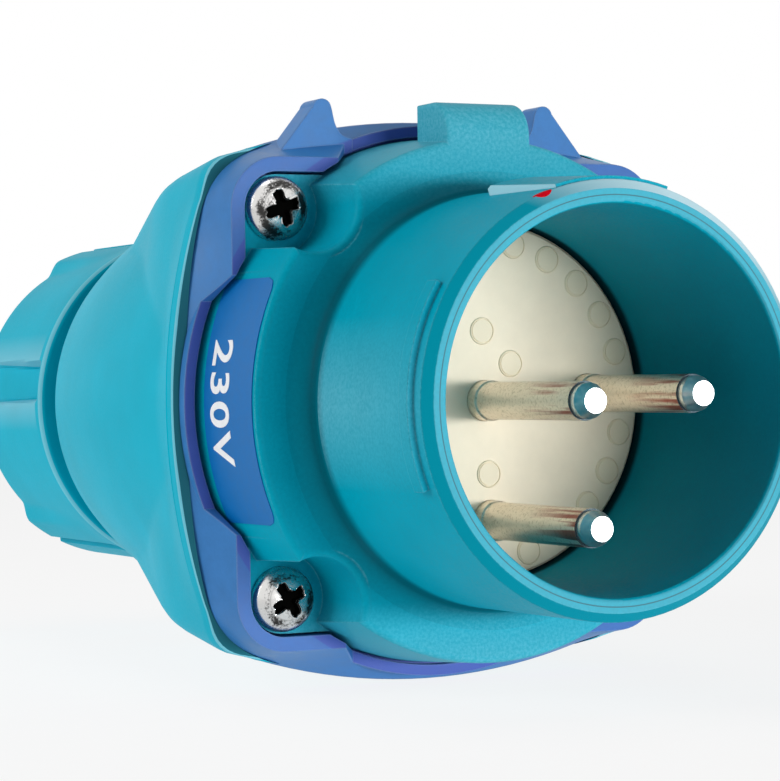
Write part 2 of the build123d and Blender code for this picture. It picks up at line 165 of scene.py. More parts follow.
def shell(points, ring=False):
    """Corner numbers of the quads of a grid whose columns close round, and its rows too if it is a ring."""
    index = np.arange(points.shape[0] * points.shape[1]).reshape(points.shape[:2])
    index = np.hstack([index, index[:, :1]])
    if ring:
        index = np.vstack([index, index[:1]])
    quads = np.stack([index[:-1, :-1], index[1:, :-1], index[1:, 1:], index[:-1, 1:]], -1)
    return quads.reshape(-1, 4)


def piece(name, grids, body, slot, material, ring=False, crease=32.0):
    """Joins grids of points into one closed mesh that rides on a body. Points that meet are merged."""
    corners, quads, count = [], [], 0
    for points in grids:
        quads.append(shell(points, ring) + count)
        corners.append(points.reshape(-1, 3))
        count += len(corners[-1])
    mesh = bpy.data.meshes.new(name)
    mesh.from_pydata((np.vstack(corners) * MM).tolist(), [], np.vstack(quads).tolist())
    merge_and_smooth(mesh, crease)
    return place(name, mesh, body, slot, material)


def merge_and_smooth(mesh, crease):
    """Closes seams and poles, points the faces outwards and keeps edges sharper than the crease angle."""
    work = bmesh.new()
    work.from_mesh(mesh)
    bmesh.ops.remove_doubles(work, verts=work.verts, dist=1e-7)
    bmesh.ops.dissolve_degenerate(work, edges=work.edges, dist=1e-8)
    bmesh.ops.recalc_face_normals(work, faces=work.faces)
    work.to_mesh(mesh)
    work.free()
    mesh.shade_smooth()
    mesh.set_sharp_from_angle(angle=math.radians(crease))


def place(name, mesh, body, slot, material):
    """Links a finished mesh as an object at the origin."""
    obj = bpy.data.objects.new(name, mesh)
    bpy.context.scene.collection.objects.link(obj)
    mesh.materials.append(material)
    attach(obj, body)
    return obj


def dress(node, material):
    """Gives a CAD node its finish."""
    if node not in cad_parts:
        raise RuntimeError("the frame has no node " + node)
    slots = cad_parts[node].data.materials
    slots.clear()
    slots.append(material)


# materials


def add(tree, kind, inputs=None, **settings):
    """Adds a node: settings are its own values, and each input is linked from a socket or set."""
    made = tree.nodes.new(kind)
    for key, value in settings.items():
        setattr(made, key, value)
    for key, value in (inputs or {}).items():
        if isinstance(value, bpy.types.NodeSocket):
            tree.links.new(value, made.inputs[key])
        else:
            made.inputs[key].default_value = value
    return made


def blank(name):
    """A new material with an empty tree, and its Object coordinates in metres."""
    old = bpy.data.materials.get(name)
    if old:
        bpy.data.materials.remove(old)
    material = bpy.data.materials.new(name)
    material.use_nodes = True
    tree = material.node_tree
    tree.nodes.clear()
    where = add(tree, "ShaderNodeTexCoord").outputs["Object"]
    return material, tree, where


def noise(tree, where, size, detail, roughness=0.5):
    """Noise whose features are about the given size in millimetres, on coordinates in metres."""
    return add(tree, "ShaderNodeTexNoise", {
        "Vector": where, "Scale": 1 / (size * MM), "Detail": detail, "Roughness": roughness,
    }).outputs["Fac"]


def spread(tree, value, low, high, start, end):
    """Maps a value between low and high to the range from start to end."""
    return add(tree, "ShaderNodeMapRange", {
        "Value": value, "From Min": low, "From Max": high, "To Min": start, "To Max": end,
    }).outputs[0]


def ramp(tree, value, low, high, first, second):
    """Colour that goes from the first to the second while the value goes from low to high."""
    made = add(tree, "ShaderNodeValToRGB", {"Fac": value})
    for element, place, tone in zip(made.color_ramp.elements, (low, high), (first, second)):
        element.position = place
        element.color = tone
    return made.outputs["Color"]


def blend(tree, share, first, second):
    """Mix of two colours or sockets by a share of the second."""
    return add(tree, "ShaderNodeMix", {0: share, 6: first, 7: second}, data_type="RGBA").outputs[2]


def combine(tree, operation, *values):
    """Result of a Math node."""
    return add(tree, "ShaderNodeMath", dict(enumerate(values)), operation=operation).outputs[0]


def relief(tree, height, strength, depth, normal=None):
    """Bumped normal of a height pattern, its depth in millimetres."""
    inputs = {"Height": height, "Strength": strength, "Distance": depth * MM}
    if normal:
        inputs["Normal"] = normal
    return add(tree, "ShaderNodeBump", inputs).outputs[0]


def soft_edge(tree, radius):
    """Normal that rounds the edges of a solid by a radius in millimetres."""
    return add(tree, "ShaderNodeBevel", {"Radius": radius * MM}, samples=6).outputs[0]


def true_normal(tree):
    return add(tree, "ShaderNodeNewGeometry").outputs["Normal"]


def edge_share(tree, rounded, low):
    """Share that is 1 on the edges of a solid and 0 on its faces: how far a rounded normal leans off
    the true one."""
    inputs = {0: rounded, 1: true_normal(tree)}
    lean = add(tree, "ShaderNodeVectorMath", inputs, operation="DOT_PRODUCT").outputs["Value"]
    return spread(tree, lean, 1.0, low, 0.0, 1.0)


def product(tree, *values):
    """All values multiplied, such as shares that have to hold at once."""
    result = values[0]
    for value in values[1:]:
        result = combine(tree, "MULTIPLY", result, value)
    return result


def parted(tree, vector):
    """X, Y and Z of a vector."""
    return add(tree, "ShaderNodeSeparateXYZ", {"Vector": vector}).outputs


def off_axis(tree, axis):
    """Distance from the plug axis, of separated coordinates."""
    flat = add(tree, "ShaderNodeCombineXYZ", {"X": axis["X"], "Z": axis["Z"]}).outputs[0]
    return add(tree, "ShaderNodeVectorMath", {0: flat}, operation="LENGTH").outputs["Value"]


def towards(tree, axis, x, z):
    """Distance along a direction across the plug axis, given by its shares of X and Z."""
    return combine(tree, "ADD", product(tree, axis["X"], x), product(tree, axis["Z"], z))


# shares by place: the place is a coordinate in metres, the limits are in millimetres


def above(tree, place, limit):
    return combine(tree, "GREATER_THAN", place, limit * MM)


def below(tree, place, limit):
    return combine(tree, "LESS_THAN", place, limit * MM)


def within(tree, place, middle, half):
    return combine(tree, "COMPARE", place, middle * MM, half * MM)


def apart(tree, place, middle):
    """Distance of a place from a middle."""
    return combine(tree, "ABSOLUTE", combine(tree, "SUBTRACT", place, middle * MM))


def fade(tree, place, low, high, start, end):
    return spread(tree, place, low * MM, high * MM, start, end)


def surface(tree, colour, rough, normal=None, **more):
    """Principled surface and the material's output; more sets its other sockets, with _ for a space."""
    inputs = {"Base Color": colour, "Roughness": rough}
    if normal:
        inputs["Normal"] = normal
    inputs.update({key.replace("_", " "): value for key, value in more.items()})
    shader = add(tree, "ShaderNodeBsdfPrincipled", inputs)
    add(tree, "ShaderNodeOutputMaterial", {"Surface": shader.outputs[0]})


def shade_of(colour, factor):
    return tuple(min(1.0, c * factor) for c in colour[:3]) + (1.0,)


# places on the casing: stations along Y and distances from the plug axis
RIM_FRONT = -32.06
BEVEL_BACK = -30.86
BEVEL_INNER = 26.0
SHROUD_RADIUS = 27.2
PARTING_RADIUS = 25.2
BORE_LIMIT = 24.6
KEY_PAD_BACK = -14.0
KEY_PAD_FOOT = 25.4
ROOT_CORNER = -2.2
ROOT_RADIUS = 28.8
PAINTED_RIM_SHEEN = "#C4E4EE"


def rim_line_and_painted_light(tree, tint, axis, radius):
    """Rim of the casing: a thin dark parting line on the end face, which a painted sheen pales, and a
    bevel darkened by painted shade, with a painted highlight towards the upper right."""
    colour = colours().casing
    face = below(tree, axis["Y"], RIM_FRONT + 0.16)
    line = product(tree, within(tree, radius, PARTING_RADIUS, 0.08), face)
    tint = blend(tree, line, tint, shade_of(colour, 0.35))
    # painted sheen: the end face is paled a little
    tint = blend(tree, product(tree, face, 0.11), tint, linear(PAINTED_RIM_SHEEN))
    # painted shade darkens the bevel, and a painted highlight pales it towards the upper right
    bevel = product(tree, above(tree, radius, BEVEL_INNER), below(tree, axis["Y"], BEVEL_BACK))
    tint = blend(tree, bevel, tint, shade_of(colour, 0.72))
    bright = fade(tree, towards(tree, axis, 0.42, 0.91), 16.5, 26.5, 0.0, 0.92)
    return blend(tree, product(tree, bevel, bright), tint, linear(PAINTED_RIM_SHEEN))


def shroud_painted_light(tree, tint, axis, radius, mottle):
    """Outside of the shroud: a painted highlight on the left side of the key pad, painted shade in the
    corner at the root, and a painted highlight as a pale strip along the left."""
    # painted highlight: faces of the key pad that look left are paled
    left = combine(tree, "LESS_THAN", parted(tree, true_normal(tree))["X"], -0.8)
    ahead = below(tree, axis["Y"], KEY_PAD_BACK)
    pad = product(tree, left, above(tree, axis["Z"], KEY_PAD_FOOT), ahead, 0.85)
    tint = blend(tree, pad, tint, linear("#C0F0FA"))
    # painted shade in the corner at the root of the shroud
    corner = fade(tree, apart(tree, axis["Y"], ROOT_CORNER), 0.4, 2.6, 0.75, 0.0)
    corner = product(tree, corner, within(tree, radius, ROOT_RADIUS, 1.6))
    tint = blend(tree, corner, tint, shade_of(colours().casing, 0.15))
    # painted highlight: a pale strip along the left of the shroud
    strip = product(
        tree, fade(tree, apart(tree, axis["Z"], 0.0), 1.0, 11.0, 0.28, 0.0),
        spread(tree, mottle, 0.35, 0.65, 0.7, 1.2), fade(tree, axis["Y"], -3.0, -29.0, 1.0, 0.4),
        above(tree, radius, SHROUD_RADIUS - 0.4), within(tree, axis["Y"], -17.0, 13.8),
        below(tree, axis["X"], 0.0),
    )
    return blend(tree, strip, tint, linear("#9AD8E6"))


def bore_painted_shade(tree, tint, axis, radius):
    """Bore of the shroud: painted shade darkens the right wall, and a painted shadow lies before the
    insulator.
    """
    colour = colours().casing
    # painted shade on the right wall of the bore
    wall_shade = product(tree, fade(tree, axis["X"], 8.0, 24.0, 0.0, 0.38), below(tree, radius, BORE_LIMIT))
    tint = blend(tree, wall_shade, tint, shade_of(colour, 0.1))
    # painted shadow in the gap before the insulator
    painted_shade = product(tree, fade(tree, axis["Y"], 0.6, 1.7, 0.0, 0.9), below(tree, radius, BORE_LIMIT + 0.4))
    return blend(tree, painted_shade, tint, shade_of(colour, 0.03))


def glass_filled_polyester():
    """Compression moulded glass-filled polyester of the casing.
    The eye sees a fine mottle of resin between short fibres under a satin skin, with a painted sheen of
    pale specks on the catch and the drum, painted highlights on the edges, and painted shade in the
    corners."""
    material, tree, where = blank("glass_filled_polyester")
    colour = colours().casing
    # fibre clumps are about 0.1 mm in reality, drawn at 0.45 mm so that they show
    mottle = noise(tree, where, 0.45, 4.0, 0.6)
    speck = ramp(tree, mottle, 0.33, 0.72, shade_of(colour, 0.86), shade_of(colour, 1.12))
    cloud = noise(tree, where, 9.0, 3.0)
    drift = ramp(tree, cloud, 0.3, 0.7, shade_of(colour, 0.92), shade_of(colour, 1.06))
    axis = parted(tree, where)
    radius = off_axis(tree, axis)
    tint = rim_line_and_painted_light(tree, blend(tree, 0.5, drift, speck), axis, radius)
    tint = shroud_painted_light(tree, tint, axis, radius, mottle)
    tint = bore_painted_shade(tree, tint, axis, radius)
    # painted sheen: pale specks on the catch and on the drum above and below the shroud
    patch = fade(tree, apart(tree, axis["Z"], 0.0), 26.0, 35.0, 0.0, 1.0)
    painted_sheen = product(tree, patch, above(tree, radius, 28.0), spread(tree, mottle, 0.4, 0.65, 0.14, 0.3))
    tint = blend(tree, painted_sheen, tint, linear("#9AD4E0"))
    rounded = soft_edge(tree, 0.35)
    # painted highlight: the edges of the solid are paled
    painted_highlight = product(tree, edge_share(tree, rounded, 0.88), spread(tree, mottle, 0.4, 0.6, 0.1, 0.4))
    tint = blend(tree, painted_highlight, tint, linear("#7CCBDB"))
    grain = noise(tree, where, 0.3, 3.0, 0.55)
    normal = relief(tree, grain, 0.35, 0.06, rounded)
    rough = spread(tree, mottle, 0.3, 0.7, 0.34, 0.52)
    surface(tree, tint, rough, normal, IOR=1.52, Specular_IOR_Level=0.03)
    return material


def satin_polyamide(name, colour, roughness):
    """Injection moulded polyamide of the handle and the gland nut.
    The eye sees one even colour with a soft satin gloss, faint flow clouds and a very fine grain, with
    painted highlights on the ridges and edges, and painted shade in the joints."""
    material, tree, where = blank(name)
    # the grain of the mould is about 0.05 mm, drawn at 0.35 mm so that it shows
    grain = noise(tree, where, 0.35, 2.0)
    cloud = noise(tree, where, 14.0, 3.0)
    tint = ramp(tree, cloud, 0.3, 0.7, shade_of(colour, 0.93), shade_of(colour, 1.05))
    rough = spread(tree, grain, 0.3, 0.7, roughness - 0.04, roughness + 0.05)
    axis = parted(tree, where)
    along = axis["Y"]
    painted_highlight = linear("#A8DCE6")
    # the handle's rim: a painted highlight on a ridge 0.3 mm wide, and painted shade on the bevel before it
    ridge = HANDLE_FRONT - sizes().handle_lap / MM
    tint = blend(tree, product(tree, below(tree, along, ridge + 0.3), 0.45), tint, painted_highlight)
    tint = blend(tree, product(tree, below(tree, along, ridge - 0.08), 0.9), tint, shade_of(colour, 0.22))
    # painted shade in the gap between the dome and the nut, and a painted highlight on the
    # front edge of the nut's collar
    gap = fade(tree, along, DOME_END, DOME_END + 1.5, 0.0, 0.9)
    gap = product(tree, gap, below(tree, along, NUT_FRONT))
    tint = blend(tree, gap, tint, shade_of(colour, 0.2))
    tint = blend(tree, product(tree, within(tree, along, NUT_FRONT + 0.75, 0.55), 0.4), tint, painted_highlight)
    # painted highlights on the crowns beside the nut's wide grooves, fading out 8 mm from the middle
    # of a groove
    across = towards(tree, axis, -math.sin(GROOVE_MIDDLE), math.cos(GROOVE_MIDDLE))
    crown = product(
        tree, fade(tree, apart(tree, across, 0.0), 3.0, 8.0, 0.22, 0.0),
        above(tree, off_axis(tree, axis), GROOVE_FLOOR + 0.9), above(tree, along, COLLAR_END + 0.8),
    )
    tint = blend(tree, crown, tint, linear("#E4F4F8"))
    surface(tree, tint, rough, relief(tree, grain, 0.12, 0.04), IOR=1.53, Specular_IOR_Level=0.025)
    return material


def glossy_polypropylene():
    """Injection moulded polypropylene of the bumper frame.
    The eye sees a waxy blue with faint pale scuffs, painted shade that turns the thin lips violet, and
    painted highlights that make the edges crisp and pale."""
    material, tree, where = blank("glossy_polypropylene")
    colour = colours().bumper
    scuff = noise(tree, where, 2.2, 6.0, 0.7)
    tint = ramp(tree, scuff, 0.32, 0.7, shade_of(colour, 0.92), shade_of(colour, 1.06))
    # painted shade: the forward faces of the thin lips round the drum and the lobes are turned violet
    axis = parted(tree, where)
    reach = combine(tree, "MAXIMUM", *(apart(tree, axis[key], 0.0) for key in "XZ"))
    lips = combine(
        tree, "MAXIMUM", fade(tree, reach, 32.9, 33.5, 0.3, 0.0),
        fade(tree, off_axis(tree, axis), 37.7, 38.1, 0.7, 0.0),
    )
    ahead = spread(tree, parted(tree, true_normal(tree))["Y"], -0.5, -0.95, 0.0, 1.0)
    tint = blend(tree, product(tree, lips, ahead), tint, linear("#4346A6"))
    rounded = soft_edge(tree, 0.35)
    # painted highlight: the edges are paled
    tint = blend(tree, product(tree, edge_share(tree, rounded, 0.88), 0.4), tint, linear("#9DB4E0"))
    normal = relief(tree, scuff, 0.06, 0.05, rounded)
    surface(tree, tint, spread(tree, scuff, 0.3, 0.7, 0.3, 0.42), normal, IOR=1.49, Specular_IOR_Level=0.14)
    return material


def cream_melamine():
    """Moulded melamine of the contact insulator.
    The eye sees a warm cream with a low polish and faint cloudy patches."""
    material, tree, where = blank("cream_melamine")
    colour = colours().insulator
    cloud = noise(tree, where, 7.0, 5.0, 0.6)
    tint = ramp(tree, cloud, 0.3, 0.7, shade_of(colour, 0.94), shade_of(colour, 1.03))
    # the round marks stand proud of the face and are a little browner
    proud = below(tree, parted(tree, where)["Y"], INSULATOR_FACE - 0.03)
    tint = blend(tree, product(tree, proud, 0.5), tint, linear("#E9DDBE"))
    grain = noise(tree, where, 0.5, 3.0)
    rough = spread(tree, grain, 0.3, 0.7, 0.42, 0.52)
    surface(tree, tint, rough, relief(tree, grain, 0.1, 0.04), IOR=1.6, Specular_IOR_Level=0.25)
    return material


# front end of the pin shafts along Y
PIN_END = -23.4


def worn_nickel_plate():
    """Turned brass pins with a nickel plate, worn by the mating contacts.
    The eye sees a warm silver with fine pits, and coppery lengthwise streaks near the tips."""
    material, tree, where = blank("worn_nickel_plate")
    pits = noise(tree, where, 0.4, 5.0, 0.7)
    # rub marks: noise drawn out along the pin, about 0.9 mm wide and 20 mm long
    stretched = add(tree, "ShaderNodeMapping", {"Vector": where, "Scale": (1.0, 0.045, 1.0)}).outputs[0]
    rub = noise(tree, stretched, 0.9, 3.0)
    silver = ramp(tree, pits, 0.34, 0.5, linear("#DCCAB2"), linear("#FFEEDA"))
    along = parted(tree, where)["Y"]
    streak = spread(tree, rub, 0.48, 0.57, 0.0, 0.9)
    streak = product(tree, fade(tree, along, -11.0, -21.0, 0.0, 1.0), streak)
    plate = blend(tree, streak, silver, linear("#A8412F"))
    # painted shade: the narrow step where the tip is set in is dark
    plate = blend(tree, below(tree, along, PIN_END), plate, linear("#2E3A40"))
    rough = spread(tree, pits, 0.3, 0.7, 0.46, 0.32)
    surface(tree, plate, rough, relief(tree, pits, 0.25, 0.03), Metallic=0.7, Specular_IOR_Level=0.35)
    return material


def silver_contact_alloy():
    """Silver alloy buttons on the pin ends, faced in a lathe.
    The eye sees a bright white flat with fine turning rings and a dark mirror on the chamfer."""
    material, tree, where = blank("silver_contact_alloy")
    fine = noise(tree, where, 0.6, 4.0, 0.6)
    tint = ramp(tree, fine, 0.3, 0.7, linear("#E2E3E2"), linear("#F2F1EC"))
    rough = spread(tree, fine, 0.3, 0.7, 0.3, 0.44)
    surface(tree, tint, rough, relief(tree, fine, 0.1, 0.02), Metallic=1.0)
    return material


def stainless_screw():
    """Cold formed stainless steel of the flange screws.
    The eye sees a mirror-like dome with scattered fine pits and a ring of painted dark reflection, and a
    cross recess painted black as shade."""
    material, tree, where = blank("stainless_screw")
    pits = noise(tree, where, 0.35, 6.0, 0.75)
    both = combine(tree, "ADD", pits, noise(tree, where, 3.0, 2.0))
    # distance from the axis of the nearest screw
    axis = parted(tree, where)
    radius = off_axis(tree, {
        key: apart(tree, combine(tree, "ABSOLUTE", axis[key]), SCREW_PLACE) for key in "XZ"
    })
    # painted reflection: a dark ring of 3.15 mm radius, pitted darker than the rest of the head
    band = fade(tree, apart(tree, radius, 3.15), 0.25, 0.6, 0.085, 0.0)
    level = combine(tree, "SUBTRACT", product(tree, both, 0.5), band)
    steel = ramp(tree, level, 0.39, 0.48, linear("#3E3D3C"), linear("#E0DFDD"))
    # painted shade: near black inside the reach of the recess and behind the crown of the head
    painted_shade = fade(tree, axis["Y"], 9.76, 10.0, 0.0, 1.0)
    painted_shade = product(tree, painted_shade, below(tree, radius, RECESS_REACH + 0.3))
    colour = blend(tree, painted_shade, steel, linear("#0C0C0B"))
    rough = spread(tree, both, 0.7, 1.2, 0.42, 0.16)
    rough = combine(tree, "MAXIMUM", rough, product(tree, painted_shade, 0.8))
    surface(tree, colour, rough, relief(tree, pits, 0.3, 0.04), Metallic=1.0)
    return material


def printed_film(name, colour):
    """Polyester film of the rating label and its print.
    The eye sees a flat strong colour under a thin even gloss, slightly uneven like laid ink."""
    material, tree, where = blank(name)
    ink = noise(tree, where, 1.2, 4.0)
    tint = ramp(tree, ink, 0.3, 0.7, shade_of(colour, 0.95), shade_of(colour, 1.03))
    surface(tree, tint, spread(tree, ink, 0.3, 0.7, 0.36, 0.44), IOR=1.5, Specular_IOR_Level=0.2)
    return material


def brushed_enamel_dab():
    """A dab of red enamel from a brush.
    The eye sees a strong red, thicker and darker in its middle, with a wet gloss."""
    material, tree, where = blank("brushed_enamel_dab")
    colour = colours().paint
    streak = noise(tree, where, 0.7, 3.0)
    tint = ramp(tree, streak, 0.3, 0.7, shade_of(colour, 0.8), shade_of(colour, 1.15))
    surface(tree, tint, spread(tree, streak, 0.3, 0.7, 0.45, 0.6), IOR=1.5, Specular_IOR_Level=0.02)
    return material


def moulded_inner(name, code, roughness, size, depth):
    """Moulded rubber or plastic of a piece inside the plug, or zinc plate of a terminal screw.
    The eye sees a matt skin with a fine grain of the given size."""
    material, tree, where = blank(name)
    colour = linear(code)
    grain = noise(tree, where, size, 4.0)
    tint = ramp(tree, grain, 0.3, 0.7, shade_of(colour, 0.8), shade_of(colour, 1.2))
    rough = spread(tree, grain, 0.3, 0.7, roughness - 0.06, roughness + 0.06)
    surface(tree, tint, rough, relief(tree, grain, 0.3, depth), IOR=1.5)
    return material


# handle: its front along Y, and the bowed squares of the bosses by their distance behind it
HANDLE_FRONT = 19.94
BOSS_PLACES = (0.8, 19.0, 47.0)
BOSS_HALVES = (37.2, 34.0, 25.0)
BOSS_BOWS = (118.0, 160.0, 600.0)
BOSS_CORNER = 2.6
# lapping rim: its fit on the frame, bevel, fade, and the cosines between which it grows
LAP_FIT = 0.05
LAP_BEVEL = 0.4
LAP_FADE = 11.0
LAP_NONE = 0.5
LAP_FULL = 0.66
# back of the bumper frame: a bowed square, and the round lip in front of it
FRAME_HALF = 38.6
FRAME_BOW = 85.0
FRAME_CORNER = 5.2
FRAME_LIP = 37.8
# dome by its distance behind the handle's front, then stations along Y and radii up to the spigot
DOME_LENGTH = 66.0
DOME_PLACES = (0.0, 20.0, 43.0, DOME_LENGTH)
DOME_RADII = (37.0, 36.3, 34.1, 29.6)
DOME_SLOPES = (-0.0175, -0.063, -0.145, -0.265)
DOME_WALL = 4.0
DOME_END = 94.44
DOME_END_RADIUS = 25.2
SPIGOT_RADIUS = 22.0
SPIGOT_END = 127.94
SPIGOT_EDGE = 1.0
SEAL_BORE = 17.5
SEAL_SEAT = 112.94
CORD_PASS = 13.5
NECK_FRONT = 108.94


def bowed_square(angle, half, bow, corner):
    """Polar radius of a square with bowed sides: each side is a circle of radius bow whose centre
    lies behind the middle, so that the side stands half away from it. The lower of a side and its
    neighbour is taken, with the corner between them rounded."""
    fold = (angle + math.pi / 4) % (math.pi / 2) - math.pi / 4
    centre = half - bow
    side, neighbour = (
        centre * np.cos(a) + np.sqrt(bow * bow - (centre * np.sin(a)) ** 2)
        for a in (fold, np.abs(fold) - math.pi / 2)
    )
    return lower_of(side, neighbour, corner)


def handle_radius(behind, angle):
    """Outer radius of the handle at a distance behind its front and an angle. Two straight tapers
    run from a bowed square to the next, the lower of them is taken with a soft shoulder between,
    and the dome stands out where it is the higher."""
    s = sizes()
    front, middle, back = (
        bowed_square(angle, half, bow, BOSS_CORNER) for half, bow in zip(BOSS_HALVES, BOSS_BOWS)
    )
    p0, p1, p2 = BOSS_PLACES
    upper = front + (middle - front) * (behind - p0) / (p1 - p0)
    lower = middle + (back - middle) * (behind - p1) / (p2 - p1)
    boss = lower_of(upper, lower, s.boss_soft / MM)
    dome = curve_through(behind, DOME_PLACES, DOME_RADII, DOME_SLOPES)
    return higher_of(boss, dome, s.dome_soft / MM)


def frame_radius(ahead, angle):
    """Outer radius of the bumper frame a little ahead of its back: it falls fastest in the middle of a
    side, hardly at the corners, and nowhere below the round lip."""
    fold = np.abs((angle + math.pi / 4) % (math.pi / 2) - math.pi / 4)
    slope = 0.62 - 0.5 * ease((fold - math.radians(10.0)) / math.radians(32.0))
    return np.maximum(FRAME_LIP, bowed_square(angle, FRAME_HALF, FRAME_BOW, FRAME_CORNER) - slope * ahead)


def thread(along, angle, depth, pitch):
    """Depth of a right-hand thread: a rounded tooth whose phase grows with y and with the turn about +Y."""
    phase = (along / pitch + angle / TURN) % 1.0
    return depth * ease((0.5 - np.abs(phase - 0.5)) * 2 * 1.6 - 0.3)


def handle_grid():
    """The handle's closed wall: the front face, a rim that laps over the frame's back with a bevel and
    a ridge, bosses and dome, the nose, the threaded spigot, and back through the seal bore and the
    hollow dome. The rim laps on the left and right and round the corners only, and behind the ridge
    its rise over the plain side fades out."""
    s = sizes()
    angle = around(288)
    sides = ease((np.abs(np.cos(angle)) - LAP_NONE) / (LAP_FULL - LAP_NONE))
    lap = s.handle_lap / MM * sides
    hollow_front = DOME_RADII[0] - DOME_WALL
    plain = handle_radius(np.zeros((1, 1)), angle)
    seat = frame_radius(0.0, angle) + LAP_FIT
    ridge = plain + np.maximum(seat + LAP_FIT - plain, 0) * sides
    inner = np.minimum(seat, ridge)
    t = np.linspace(0, 1, 3)[:, None]
    face = turned(hollow_front + (inner - hollow_front) * t, HANDLE_FRONT, angle)
    foot = np.minimum(frame_radius(lap + LAP_BEVEL, angle) + LAP_FIT, ridge)
    t = np.linspace(0, 0.8, 4)[:, None]
    bevel = turned(foot + (ridge - foot) * t, HANDLE_FRONT - lap - LAP_BEVEL * (1 - t), angle)
    # ridge: a quadratic curve from the bevel to the side
    t = np.linspace(0, 1, 7)[1:, None]
    bend = (1 - t) ** 2
    rounded = turned(
        ridge - 0.2 * (ridge - foot) * bend,
        HANDLE_FRONT - lap - 0.2 * LAP_BEVEL * bend + LAP_BEVEL * t * t, angle,
    )
    behind = LAP_BEVEL - lap + (DOME_LENGTH - LAP_BEVEL + lap) * np.linspace(0, 1, 138)[1:, None]
    fade = 1 - ease((behind + lap) / LAP_FADE)
    side = turned(
        handle_radius(np.maximum(behind, 0), angle) + (ridge - plain) * fade, HANDLE_FRONT + behind, angle
    )
    # nose: a cubic from the dome's end to the ledge that faces the nut
    t = np.linspace(0, 1, 15)[1:, None]
    p0 = np.array([DOME_RADII[-1], HANDLE_FRONT + DOME_LENGTH])
    p3 = np.array([DOME_END_RADIUS, DOME_END])
    p1, p2 = p0 + np.array([-0.95, 3.6]), p3 + np.array([2.7, -0.95])
    nose = p0 * (1 - t) ** 3 + 3 * p1 * t * (1 - t) ** 2 + 3 * p2 * t * t * (1 - t) + p3 * t ** 3
    nose = turned(nose[:, :1], nose[:, 1:], angle)
    root = turned(np.full((1, 1), SPIGOT_RADIUS), DOME_END, angle)
    along = np.linspace(DOME_END, SPIGOT_END, 100)[1:, None]
    bite = thread(along, angle, s.thread_depth / MM, s.thread_pitch / MM)
    bite = bite * ease((along - DOME_END - 0.6) / 1.5)
    chamfer = np.maximum(0, along - (SPIGOT_END - SPIGOT_EDGE))
    spigot = turned(SPIGOT_RADIUS - np.maximum(bite, chamfer), along, angle)
    inside = np.array([
        [SEAL_BORE, SPIGOT_END], [SEAL_BORE, SEAL_SEAT], [CORD_PASS, SEAL_SEAT], [CORD_PASS, NECK_FRONT],
    ])
    inside = turned(inside[:, :1], inside[:, 1:], angle)
    back = np.linspace(DOME_LENGTH, 0.0, 34)[:-1, None]
    hollow_r = curve_through(back, DOME_PLACES, DOME_RADII, DOME_SLOPES) - DOME_WALL
    hollow = turned(hollow_r, HANDLE_FRONT + back, angle)
    return np.vstack([face, bevel, rounded, side, nose, root, spigot, inside, hollow])


# gland nut: stations along Y, radii and edges of its solid, and its grips and grooves
NUT_FRONT = 100.44
NUT_WEB = 129.44
NUT_END = 135.94
NUT_BORE = 22.08
NUT_RADIUS = 27.2
NUT_EDGE = 0.9
COLLAR_END = 102.44
NUT_BACK_RADIUS = 25.3
NUT_BACK_ROUND = 2.0
NUT_HOLE = 13.0
NUT_HOLE_EDGE = 1.0
GRIP_RADIUS = 27.0
GRIP_FOOT = math.radians(50.0)
GRIP_TOP = math.radians(58.0)
NOTCHES = np.radians([70.0, 90.0])
NOTCH_WIDTH = 1.5
GROOVE_WIDTHS = (5.5, 6.9)
GROOVE_FLOOR = 23.8
GROOVE_MIDDLE = math.radians(172.3)


def sunk(radius, floor, across, width, soft):
    """Radius after a flat-bottomed groove: inside its width the floor is taken, with soft flanks."""
    flank = ease((np.abs(across) - width / 2 + soft / 2) / soft)
    return radius - np.maximum(radius - floor, 0) * (1 - flank)


